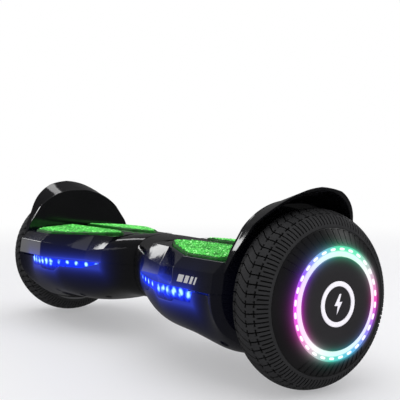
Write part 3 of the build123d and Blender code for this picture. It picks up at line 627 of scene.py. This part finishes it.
# ---- tyre ----------------------------------------------------------------------------
TREAD_PITCHES = 60
GROOVE_DEPTH = 1.9 * MM
NOTCH_DEPTH = 1.7 * MM
LINE_DEPTH = 1.5 * MM
RIM_RADIUS = BEAD_RADIUS - 7.5 * MM
LINE_PLACES = (7.2 * MM, 14.6 * MM)
LINE_WIDTH = 1.4 * MM
NOTCH_START = 16.4 * MM
NOTCH_END = 22.7 * MM
PITCH_LENGTH = 2 * math.pi * TYRE_RADIUS / TREAD_PITCHES


def tread_rows():
    """Distances across the tyre at which the tread has a row of points."""
    half = [0, 1.8, 3.6, 5.2]
    for place in LINE_PLACES:
        middle = place / MM
        edge = LINE_WIDTH / MM / 2
        half += [middle - edge - 0.12, middle - edge, middle + edge, middle + edge + 0.12]
    half += [9.0, 10.8, 12.6, 15.7, 16.35, 16.7, 17.8, 18.9, 19.9, 20.8]
    half += [21.6, 22.2, 22.6, 22.9, 23.2, 23.4, 23.5]
    half = sorted(value * MM for value in half)
    return [-value for value in reversed(half[1:])] + half


def crown(across):
    """Radius of the tyre at a distance from its middle."""
    share = min(1.0, abs(across) / TYRE_HALF_WIDTH)
    return BEAD_RADIUS + (TYRE_RADIUS - BEAD_RADIUS) * (1 - share * share) ** 0.6


def groove_lean(across):
    """How far round a groove runs at a distance across, in pitches."""
    middle = LINE_PLACES[0]
    if abs(across) <= middle:
        share = across / middle
        return -0.5 * (1.25 * share - 0.25 * share**3)
    sign = math.copysign(1, across)
    past = (abs(across) - middle) / (TYRE_HALF_WIDTH - middle)
    return -0.5 * sign + sign * 0.16 * past


def tread_columns():
    """Places along one pitch in millimetres, each with its cut.

    A groove or a notch is cut where named, a dash of each line where the name is empty,
    and none in a gap.
    """
    groove = [(-0.68, ""), (-0.48, "groove"), (0.48, "groove"), (0.68, "")]
    rest = [(3.0, ""), (3.1, "gap"), (3.3, "gap")]
    notch = [(3.62, "gap"), (3.80, "notch"), (4.98, "notch"), (5.16, "gap")]
    last = [(5.5, "gap"), (5.6, "")]
    return groove + rest + notch + last


def tread_cut(across, cut):
    """Depth cut into the tread at a distance across and a kind of column."""
    place = abs(across)
    depth = 0.0
    if cut == "groove" and place < NOTCH_END:
        depth = GROOVE_DEPTH
    if cut == "notch" and NOTCH_START < place < NOTCH_END:
        depth = NOTCH_DEPTH
    if cut != "gap" and cut != "notch":
        on_line = any(abs(place - line) < LINE_WIDTH / 2 + 0.01 * MM for line in LINE_PLACES)
        if on_line:
            depth = max(depth, LINE_DEPTH)
    return depth


def tyre(side):
    sign = SIDES[side]
    rows = tread_rows()
    columns = tread_columns()
    bead = [(21.0 * MM, BEAD_RADIUS), (20.5 * MM, RIM_RADIUS)]
    bead += [(-x, radius) for x, radius in reversed(bead)]
    points = []
    for pitch in range(TREAD_PITCHES):
        for place, cut in columns:
            for across in rows:
                turn = (pitch + place * MM / PITCH_LENGTH + groove_lean(across)) / TREAD_PITCHES
                radius = crown(across) - tread_cut(across, cut)
                points.append(about_axle(sign, TYRE_X + across, radius, 2 * math.pi * turn))
            turn = (pitch + place * MM / PITCH_LENGTH) / TREAD_PITCHES
            points += [about_axle(sign, TYRE_X + x, radius, 2 * math.pi * turn) for x, radius in bead]
    height = len(rows) + len(bead)
    width = TREAD_PITCHES * len(columns)
    faces = []
    for column in range(width):
        start, onward = column * height, (column + 1) % width * height
        for row in range(height):
            after = (row + 1) % height
            faces.append((start + row, start + after, onward + after, onward + row))
    mesh = mesh_from(f"{side}_tyre_tread", points, faces, 32)
    piece(f"{side}_tyre_tread", mesh, f"{side}_wheel", "tyre_rubber", f"{side}_tyre")


# ---- hub, lights and badge -----------------------------------------------------------
RIB_COUNT = 56
RIB_DEPTH = 1.25 * MM
TOP_RIBS = 57                # degrees each way from the top
BOTTOM_RIBS = 40             # degrees each way from the bottom


def rib_amount(turn):
    """1 where the cone carries ribs and 0 where it is smooth, by turn from the front to the top."""
    degrees = (math.degrees(turn) - 90) % 360
    from_top = min(degrees, 360 - degrees)
    return 1.0 if from_top < TOP_RIBS or 180 - from_top < BOTTOM_RIBS else 0.0


def hub_face(side):
    """Wheel cover: dished disc, seat of the light ring, and a cone with fan ribs."""
    sign = SIDES[side]
    cone_start, cone_end = HUB_RADIUS, RING_OUTER + 0.5 * MM
    foot_x = TYRE_X + TYRE_HALF_WIDTH
    fixed = [
        (hub_low.x, HUB_RADIUS - 2.1 * MM),
        (foot_x - 0.6 * MM, HUB_RADIUS - 0.5 * MM),
        (foot_x, HUB_RADIUS),
    ]
    cone = [0.04, 0.09, 0.3, 0.5, 0.7, 0.9, 0.95, 1.0]
    inner = [
        (FACE_X, RING_OUTER + 0.15 * MM),
        (FACE_X - 3.9 * MM, RING_OUTER + 0.15 * MM),
        (FACE_X - 3.9 * MM, RING_INNER - 0.15 * MM),
        (FACE_X + 0.3 * MM, RING_INNER - 0.15 * MM),
        (FACE_X + 0.8 * MM, RING_INNER - 0.5 * MM),
        (FACE_X + 1.0 * MM, RING_INNER - 1.6 * MM),
        (FACE_X + 0.85 * MM, (RING_INNER + BADGE_OUTER) / 2),
        (FACE_X + 0.8 * MM, BADGE_OUTER + 0.3 * MM),
        (FACE_X, BADGE_OUTER + 0.1 * MM),
        (FACE_X, BADGE_INNER - 0.1 * MM),
        (FACE_X + 0.8 * MM, BADGE_INNER - 0.3 * MM),
        (FACE_X + 0.9 * MM, 0.3 * BADGE_INNER),
    ]
    steps = [0.0, 0.05, 0.10, 0.16, 0.22, 0.6, 0.98]    # places across one rib's pitch
    cuts = [0.0, 0.9, 1.0, 0.9, 0.42, 0.2, 0.0]         # share of the depth cut there
    points = []
    count = RIB_COUNT * len(steps)
    for rib in range(RIB_COUNT):
        for step, cut in zip(steps, cuts):
            turn = 2 * math.pi * (rib + step) / RIB_COUNT
            depth = RIB_DEPTH * cut * rib_amount(2 * math.pi * (rib + 0.5) / RIB_COUNT)
            loop = list(fixed)
            for share in cone:
                ends = 1.0 if 0.06 < share < 0.93 else 0.0
                x = foot_x + (FACE_X - foot_x) * share - depth * ends
                loop.append((x, cone_start + (cone_end - cone_start) * share))
            loop += inner
            points += [about_axle(sign, x, radius, turn) for x, radius in loop]
    height = len(fixed) + len(cone) + len(inner)
    faces = []
    for column in range(count):
        start, onward = column * height, (column + 1) % count * height
        for row in range(height - 1):
            faces.append((start + row, start + row + 1, onward + row + 1, onward + row))
    front, back = len(points), len(points) + 1
    points += [about_axle(sign, FACE_X + 0.9 * MM, 0, 0), about_axle(sign, hub_low.x, 0, 0)]
    for column in range(count):
        start, onward = column * height, (column + 1) % count * height
        faces.append((start + height - 1, front, onward + height - 1))
        faces.append((start, onward, back))
    mesh = mesh_from(f"{side}_hub_face", points, faces, 24)
    piece(f"{side}_hub_face", mesh, f"{side}_wheel", "hub_plastic", f"{side}_hub_cover")


LAMP_COUNT = 28
LAMP_SIDES = 16


def light_ring(side):
    """Diffuser with a raised inner band and a lower outer band under the lamps."""
    sign = SIDES[side]
    low, high = ring_low.x, ring_high.x
    profile = [
        (low, RING_INNER),
        (high - 0.9 * MM, RING_INNER),
        (high - 0.3 * MM, RING_INNER + 0.3 * MM),
        (high, RING_INNER + 1.0 * MM),
        (high, RING_INNER + 3.3 * MM),
        (high - 0.25 * MM, RING_INNER + 3.9 * MM),
        (high - 0.9 * MM, RING_INNER + 4.3 * MM),
        (high - 1.0 * MM, RING_OUTER - 0.5 * MM),
        (high - 1.4 * MM, RING_OUTER),
        (low, RING_OUTER),
    ]
    mesh = turned_mesh(f"{side}_light_band", sign, profile, 168)
    piece(f"{side}_light_band", mesh, f"{side}_wheel", "ring_lens", f"{side}_light_ring")


def ring_lamps(side):
    """Short domed lamps round the outer band."""
    sign = SIDES[side]
    low, top = ring_high.x - 1.5 * MM, ring_high.x - 0.15 * MM
    middle = RING_OUTER - 2.7 * MM
    half_width = 1.15 * MM
    half_turn = 0.26 * 2 * math.pi / LAMP_COUNT
    shape = bmesh.new()
    for lamp in range(LAMP_COUNT):
        centre = 2 * math.pi * (lamp + 0.5) / LAMP_COUNT
        rings = []
        for inset, x in ((0.0, low), (0.0, top - 0.35 * MM), (0.25, top - 0.08 * MM), (0.5, top)):
            loop = []
            for step in range(LAMP_SIDES):
                angle = 2 * math.pi * step / LAMP_SIDES
                reach = 1 - inset
                c, s = math.cos(angle), math.sin(angle)
                turn = centre + half_turn * reach * math.copysign(abs(c) ** 0.55, c)
                radius = middle + half_width * reach * math.copysign(abs(s) ** 0.8, s)
                loop.append(shape.verts.new(about_axle(sign, x, radius, turn)))
            rings.append(loop)
        for lower, upper in zip(rings, rings[1:]):
            for step in range(LAMP_SIDES):
                after = (step + 1) % LAMP_SIDES
                shape.faces.new((lower[step], lower[after], upper[after], upper[step]))
        shape.faces.new(rings[0])
        shape.faces.new(rings[-1])
    mesh = bpy.data.meshes.new(f"{side}_ring_lamps")
    shape.to_mesh(mesh)
    shape.free()
    tidy_mesh(mesh, 60)
    piece(f"{side}_ring_lamps", mesh, f"{side}_wheel", "ring_lens", finish=LAMP_WHITE)


def badge(side):
    """White ring round a plain bolt sign, both rounded inlays."""
    sign = SIDES[side]
    low, high = badge_low.x, badge_high.x
    profile = [
        (low, BADGE_INNER + 0.1 * MM),
        (high - 0.5 * MM, BADGE_INNER + 0.1 * MM),
        (high - 0.1 * MM, BADGE_INNER + 0.6 * MM),
        (high, BADGE_INNER + 1.4 * MM),
        (high, BADGE_OUTER - 1.4 * MM),
        (high - 0.1 * MM, BADGE_OUTER - 0.6 * MM),
        (high - 0.5 * MM, BADGE_OUTER - 0.1 * MM),
        (low, BADGE_OUTER - 0.1 * MM),
    ]
    mesh = turned_mesh(f"{side}_badge_band", sign, profile, 96)
    piece(f"{side}_badge_band", mesh, f"{side}_wheel", "white_plastic", f"{side}_badge_ring")
    outline = ((1.6, 9.0), (-4.6, -1.2), (-0.6, -1.2), (-1.8, -9.0), (4.8, 1.8), (0.9, 1.8), (3.4, 9.0))
    face_x = FACE_X + 0.9 * MM
    mesh = inlay(
        f"{side}_bolt_sign",
        [(sign * face_x, y * MM, AXLE_Z + z * MM) for y, z in outline],
        Vector((sign, 0, 0)),
        0.35 * MM,
        0.12 * MM,
    )
    piece(f"{side}_bolt_sign", mesh, f"{side}_wheel", "white_plastic")


def inlay(name, outline, outwards, height, bevel):
    """Flat raised sign from an outline, with a small bevel round its face."""
    shape = bmesh.new()
    low = [shape.verts.new(Vector(p) - outwards * height) for p in outline]
    high = [shape.verts.new(Vector(p) + outwards * height) for p in outline]
    count = len(outline)
    for step in range(count):
        after = (step + 1) % count
        shape.faces.new((low[step], low[after], high[after], high[step]))
    shape.faces.new(low)
    top = shape.faces.new(high)
    rim = list(top.edges)
    bmesh.ops.bevel(
        shape, geom=rim, offset=bevel, offset_type="OFFSET", segments=2, profile=0.5, affect="EDGES"
    )
    mesh = bpy.data.meshes.new(name)
    shape.to_mesh(mesh)
    shape.free()
    tidy_mesh(mesh, 40)
    return mesh


# ---- foot pads -----------------------------------------------------------------------
KNOB_PITCH = 4.4 * MM
KNOB_RADIUS = 1.55 * MM
KNOB_HEIGHT = 1.5 * MM
KNOB_SIDES = 8


def knob(shape, centre, up):
    """Domed rubber knob on a pad's face."""
    across = Vector((1, 0, 0))
    along = up.cross(across)
    base = centre - up * 0.3 * MM
    rings = []
    for share, rise in ((1.0, 0.0), (0.9, 0.62), (0.55, 0.92)):
        loop = []
        for step in range(KNOB_SIDES):
            angle = 2 * math.pi * step / KNOB_SIDES
            offset = across * math.cos(angle) + along * math.sin(angle)
            loop.append(shape.verts.new(base + offset * KNOB_RADIUS * share + up * KNOB_HEIGHT * rise))
        rings.append(loop)
    for lower, upper in zip(rings, rings[1:]):
        for step in range(KNOB_SIDES):
            after = (step + 1) % KNOB_SIDES
            shape.faces.new((lower[step], lower[after], upper[after], upper[step]))
    tip = shape.verts.new(base + up * KNOB_HEIGHT)
    for step in range(KNOB_SIDES):
        shape.faces.new((rings[-1][step], rings[-1][(step + 1) % KNOB_SIDES], tip))


def knobbed_pad(side, end):
    """Foot pad with rows of knobs over its whole face."""
    node = f"{side}_{end}_pad"
    mesh = softened(node, 0.5 * MM, segments=2, sharp=50)
    shape = bmesh.new()
    shape.from_mesh(mesh)
    tree = BVHTree.FromBMesh(shape)
    low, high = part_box(node)
    rows = int((high.y - low.y) / (KNOB_PITCH * 0.87))
    columns = int((high.x - low.x) / KNOB_PITCH)
    spread = KNOB_RADIUS + 0.5 * MM
    down = Vector((0, 0, -1))
    for row in range(rows + 1):
        y = low.y + row * KNOB_PITCH * 0.87
        for column in range(columns + 1):
            x = low.x + (column + 0.5 * (row % 2)) * KNOB_PITCH
            centre, up, _, _ = tree.ray_cast(Vector((x, y, high.z + 0.01)), down)
            if centre is None or up.z < 0.98:
                continue
            inside = True
            for step in range(6):
                angle = math.pi * step / 3
                spot = Vector((x + spread * math.cos(angle), y + spread * math.sin(angle), high.z + 0.01))
                hit, normal, _, _ = tree.ray_cast(spot, down)
                inside = inside and hit is not None and normal.z > 0.98 and abs(hit.z - centre.z) < 0.4 * MM
            if inside:
                knob(shape, centre, up)
    shape.to_mesh(mesh)
    shape.free()
    tidy_mesh(mesh, 50)
    piece(f"{node}_knobs", mesh, node, "pad_rubber", node)


# ---- stripes on the front, pins in the charge socket ----------------------------------
# Start and width of each bar, foot and top above the axle and slant, in millimetres.
STRIPES = ((168, 9), (180, 6), (189, 4), (196, 2.5))
STRIPE_FOOT = 13.5
STRIPE_TOP = 20.5
STRIPE_SLANT = 3
STRIPE_PROUD = 0.12 * MM
STRIPE_DEPTH = 0.3 * MM


def front_stripes(side):
    """Plain slanted bars on the wheel end of the front."""
    sign = SIDES[side]
    body = bpy.data.objects[f"{side}_upper_cover_moulding"]
    shape = bmesh.new()
    shape.from_mesh(body.data)
    tree = BVHTree.FromBMesh(shape)
    shape.free()
    back = Vector((0, 1, 0))
    marks = bmesh.new()
    for start, width in STRIPES:
        corners = []
        for along, height in (
            (0, STRIPE_FOOT),
            (width, STRIPE_FOOT),
            (width + STRIPE_SLANT, STRIPE_TOP),
            (STRIPE_SLANT, STRIPE_TOP),
        ):
            spot = Vector((sign * (start + along) * MM, -0.2, AXLE_Z + height * MM))
            hit, normal, _, _ = tree.ray_cast(spot, back)
            corners.append((hit, normal))
        outer = [marks.verts.new(hit + normal * STRIPE_PROUD) for hit, normal in corners]
        inner = [marks.verts.new(hit - normal * STRIPE_DEPTH) for hit, normal in corners]
        for step in range(4):
            after = (step + 1) % 4
            marks.faces.new((inner[step], inner[after], outer[after], outer[step]))
        marks.faces.new(outer)
        marks.faces.new(inner)
    mesh = bpy.data.meshes.new(f"{side}_front_stripes")
    marks.to_mesh(mesh)
    marks.free()
    tidy_mesh(mesh, 30)
    piece(f"{side}_front_stripes", mesh, f"{side}_half", "white_plastic", finish=PRINTED_WHITE)


PORT_DROP = 9.0 * MM             # middle of the port, below the axle
PIN_CIRCLE = 2.6 * MM
PIN_SIDES = 12
# Each ring of a pin: its place from front to back, and its radius in millimetres.
PIN_PROFILE = ((0.0652, 0.75), (0.0712, 0.75), (0.0719, 0.6), (0.0722, 0.3))


def socket_pins():
    """Three contact pins standing in the charge socket."""
    low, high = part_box("charge_socket")
    middle = (low + high) / 2
    shape = bmesh.new()
    for angle in (90, 210, 330):
        x = middle.x + PIN_CIRCLE * math.cos(math.radians(angle))
        z = AXLE_Z - PORT_DROP + PIN_CIRCLE * math.sin(math.radians(angle))
        rings = []
        for y, radius in PIN_PROFILE:
            loop = []
            for step in range(PIN_SIDES):
                turn = 2 * math.pi * step / PIN_SIDES
                spot = (x + radius * MM * math.cos(turn), y, z + radius * MM * math.sin(turn))
                loop.append(shape.verts.new(spot))
            rings.append(loop)
        for lower, upper in zip(rings, rings[1:]):
            for step in range(PIN_SIDES):
                after = (step + 1) % PIN_SIDES
                shape.faces.new((lower[step], lower[after], upper[after], upper[step]))
        shape.faces.new(rings[0])
        shape.faces.new(rings[-1])
    mesh = bpy.data.meshes.new("charge_socket_pins")
    shape.to_mesh(mesh)
    shape.free()
    tidy_mesh(mesh, 40)
    piece("charge_socket_pins", mesh, "right_half", "bearing_steel")


for side in SIDES:
    soft_covers(side)
    tyre(side)
    hub_face(side)
    light_ring(side)
    ring_lamps(side)
    badge(side)
    for end in ("front", "rear"):
        knobbed_pad(side, end)
front_stripes("right")
socket_pins()


# ---- floor, light and camera ---------------------------------------------------------
def studio_floor():
    """Pale round floor that fades into the background."""
    finish = Finish("studio floor", Roughness=0.45, Specular_IOR_Level=0.2)
    cloud = finish.noise(0.8, 3.0)
    finish.feed("Base Color", finish.mix(cloud, (0.49, 0.49, 0.50), (0.52, 0.52, 0.53)))
    finish.feed("Emission Color", finish.mix(cloud, (0.97, 0.97, 1.0), (1.0, 1.0, 1.0)))
    finish.shader.inputs["Emission Strength"].default_value = 0.36
    distance = (finish.x * finish.x + finish.y * finish.y) ** 0.5
    far = finish.node("ShaderNodeEmission", {}, (1.0, 1.0, 1.0, 1.0), 1.0)
    blended = finish.node("ShaderNodeMixShader", {}, distance.above(0.6, 2.2))
    mixer = blended.node
    finish.tree.links.new(finish.shader.outputs[0], mixer.inputs[1])
    finish.tree.links.new(far, mixer.inputs[2])
    surface = finish.tree.nodes["Material Output"].inputs["Surface"]
    finish.tree.links.new(blended, surface)
    shape = bmesh.new()
    bmesh.ops.create_circle(shape, cap_ends=True, segments=96, radius=6.0)
    mesh = bpy.data.meshes.new("studio_floor")
    shape.to_mesh(mesh)
    shape.free()
    mesh.materials.append(finish.material)
    floor = bpy.data.objects.new("studio_floor", mesh)
    scene.collection.objects.link(floor)
    floor.visible_glossy = False


def panel_light(name, spot, target, width, height, brightness, mirrored=True):
    """Rectangular soft light with a brightness for its face, seen in gloss when mirrored."""
    lamp = bpy.data.lights.new(name, "AREA")
    lamp.shape = "RECTANGLE"
    lamp.size = width
    lamp.size_y = height
    lamp.energy = brightness * math.pi * width * height
    thing = bpy.data.objects.new(name, lamp)
    thing.location = spot
    thing.visible_glossy = mirrored
    thing.rotation_euler = (Vector(target) - Vector(spot)).to_track_quat("-Z", "Y").to_euler()
    scene.collection.objects.link(thing)


def studio_world():
    world = bpy.data.worlds.new("studio")
    scene.world = world
    world.use_nodes = True
    nodes, links = world.node_tree.nodes, world.node_tree.links
    background = nodes["Background"]
    path = nodes.new("ShaderNodeLightPath")
    mix = nodes.new("ShaderNodeMix")
    mix.data_type = "RGBA"
    links.new(path.outputs["Is Camera Ray"], mix.inputs["Factor"])
    mix.inputs["A"].default_value = (0.80, 0.80, 0.81, 1)
    mix.inputs["B"].default_value = (1, 1, 1, 1)
    links.new(mix.outputs["Result"], background.inputs["Color"])
    dim = nodes.new("ShaderNodeMapRange")
    links.new(path.outputs["Is Glossy Ray"], dim.inputs["Value"])
    dim.inputs["To Min"].default_value = 1.0
    dim.inputs["To Max"].default_value = 0.13
    links.new(dim.outputs["Result"], background.inputs["Strength"])


def studio_camera():
    lens = bpy.data.cameras.new("camera")
    lens.sensor_width = 36
    lens.lens = 69.48
    lens.shift_y = 0.09
    camera = bpy.data.objects.new("camera", lens)
    camera.location = (0.77882, -0.48420, 0.20144)
    view = Vector((-0.82061, 0.56533, -0.08372))
    camera.rotation_euler = view.to_track_quat("-Z", "Y").to_euler()
    scene.collection.objects.link(camera)
    scene.camera = camera


studio_floor()
studio_world()
panel_light("overhead", (0.0, 0.0, 2.6), (0, 0, 0), 3.0, 3.0, 1.1, mirrored=False)
panel_light("left_card", (-2.7, -0.52, 1.27), (0, 0, 0.1), 0.46, 0.56, 5.6)
panel_light("high_left_card", (-2.33, 0.41, 1.85), (0, 0, 0.1), 0.34, 0.7, 2.2)
panel_light("low_left_card", (-2.74, -1.22, 0.16), (0, 0, 0.1), 0.9, 0.5, 0.8)
panel_light("rear_left", (-1.2, 2.4, 1.3), (0, 0, 0.1), 1.0, 1.0, 1.6)
panel_light("rear_right", (1.16, 2.1, 1.8), (0, 0, 0.1), 0.9, 0.8, 2.4)
panel_light("front_fill", (-1.2, -2.6, 2.4), (0, 0, 0.1), 1.2, 0.6, 0.7)
studio_camera()
scene.view_settings.view_transform = "Standard"
